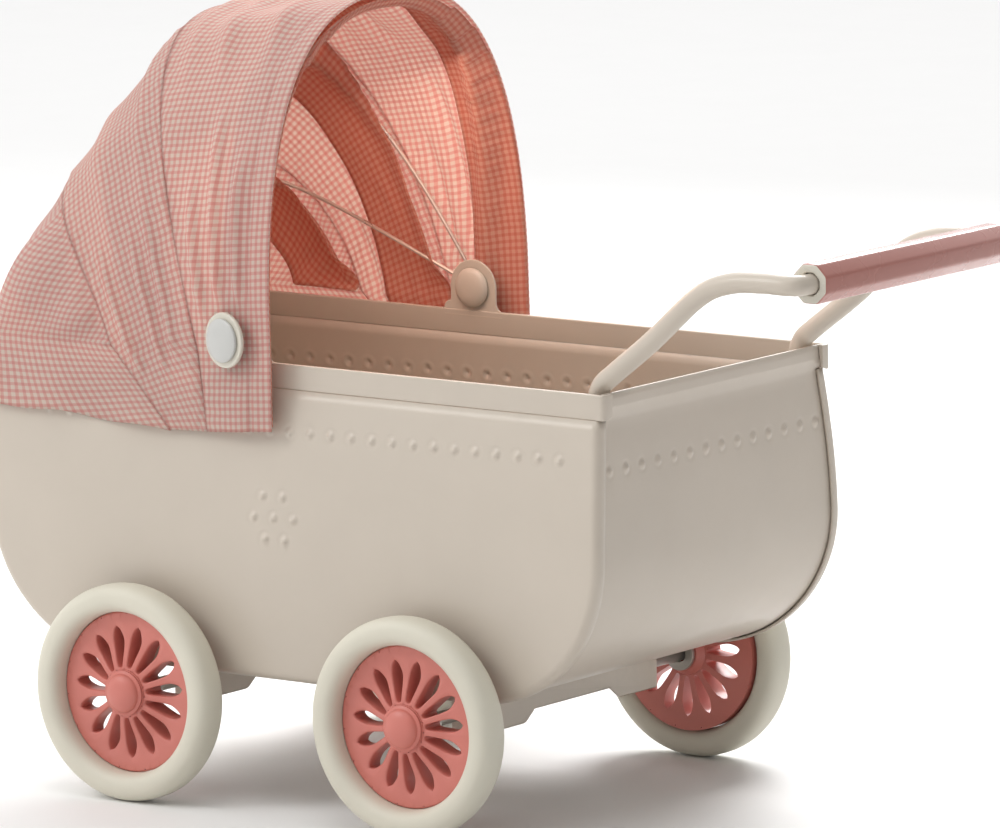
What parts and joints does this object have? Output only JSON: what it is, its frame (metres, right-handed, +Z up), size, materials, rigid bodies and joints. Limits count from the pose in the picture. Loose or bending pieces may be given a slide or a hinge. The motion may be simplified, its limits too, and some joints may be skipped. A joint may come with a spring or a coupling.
{
  "type": "doll stroller",
  "caption": "Toy metal pram with a pressed tub, spoked wheels on two axles, a bent rod handle with a turning grip, and a folding gingham cloth hood on wire bows.",
  "frame": {"origin": "on the floor, under the middle of the overall length and width", "axes": "+X from the hood end to the handle, +Y across to the left, +Z up"},
  "size_m": [0.228, 0.1204, 0.181],
  "materials": {
    "paint": "satin cream enamel",
    "steel": "dull drawn wire",
    "tyre": "matt ivory rubber",
    "wheel_plastic": "satin dusty pink",
    "cream_plastic": "glossy cream",
    "grip_plastic": "glossy mauve pink",
    "cloth": "pink and cream micro check cotton"
  },
  "bodies": {
    "tub": {"tub_side_left": "paint", "tub_side_right": "paint", "tub_strip": "paint", "axle_carrier_front": "paint", "axle_carrier_rear": "paint", "axle_front": "steel", "axle_rear": "steel", "hub_cap_front_left": "wheel_plastic", "hub_cap_front_right": "wheel_plastic", "hub_cap_rear_left": "wheel_plastic", "hub_cap_rear_right": "wheel_plastic", "axle_washer_front_left": "steel", "axle_washer_front_right": "steel", "axle_washer_rear_left": "steel", "axle_washer_rear_right": "steel", "handle_rod": "paint", "hood_rivet_left": "paint", "hood_rivet_right": "paint", "button_ring_left": "cream_plastic", "button_ring_right": "cream_plastic", "button_cap_left": "cream_plastic", "button_cap_right": "cream_plastic", "hood_cloth_back": "cloth", "hood_cloth_skirt": "cloth"},
    "wheel_front_left": {"wheel_front_left": "wheel_plastic", "tyre_front_left": "tyre"},
    "wheel_front_right": {"wheel_front_right": "wheel_plastic", "tyre_front_right": "tyre"},
    "wheel_rear_left": {"wheel_rear_left": "wheel_plastic", "tyre_rear_left": "tyre"},
    "wheel_rear_right": {"wheel_rear_right": "wheel_plastic", "tyre_rear_right": "tyre"},
    "grip": {"handle_grip": "grip_plastic"},
    "bow_back": {"hood_bow_back": "steel"},
    "bow_middle": {"hood_bow_middle": "steel", "hood_cloth_middle": "cloth"},
    "bow_mouth": {"hood_bow_mouth": "steel", "hood_cloth_mouth": "cloth"}
  },
  "joints": [
    {"name": "spin_front_left", "type": "hinge", "parent": "tub", "child": "wheel_front_left", "pos_m": [-0.06628, 0.0556, 0.025], "axis": [0, 1, 0], "continuous": true},
    {"name": "spin_front_right", "type": "hinge", "parent": "tub", "child": "wheel_front_right", "pos_m": [-0.06628, -0.0556, 0.025], "axis": [0, 1, 0], "continuous": true},
    {"name": "spin_rear_left", "type": "hinge", "parent": "tub", "child": "wheel_rear_left", "pos_m": [0.01293, 0.0556, 0.025], "axis": [0, 1, 0], "continuous": true},
    {"name": "spin_rear_right", "type": "hinge", "parent": "tub", "child": "wheel_rear_right", "pos_m": [0.01293, -0.0556, 0.025], "axis": [0, 1, 0], "continuous": true},
    {"name": "grip_spin", "type": "hinge", "parent": "tub", "child": "grip", "pos_m": [0.10933, 0, 0.1294], "axis": [0, 1, 0], "continuous": true},
    {"name": "hood_fold", "type": "hinge", "parent": "tub", "child": "bow_back", "pos_m": [-0.04047, 0, 0.1072], "axis": [0, 1, 0], "range_deg": [-17, 0], "deforming": ["hood_cloth_back", "hood_cloth_skirt"]},
    {"name": "hood_fold_middle", "type": "hinge", "parent": "bow_back", "child": "bow_middle", "pos_m": [-0.04047, 0, 0.1072], "axis": [0, 1, 0], "range_deg": [-30.8, 0], "deforming": ["hood_cloth_middle"]},
    {"name": "hood_fold_mouth", "type": "hinge", "parent": "bow_middle", "child": "bow_mouth", "pos_m": [-0.04047, 0, 0.1072], "axis": [0, 1, 0], "range_deg": [-34.6, 0], "deforming": ["hood_cloth_mouth"]}
  ],
  "couplings": [
    {"joint": "hood_fold_middle", "follows": "hood_fold", "ratio": 1.806},
    {"joint": "hood_fold_mouth", "follows": "hood_fold", "ratio": 2.029}
  ]
}
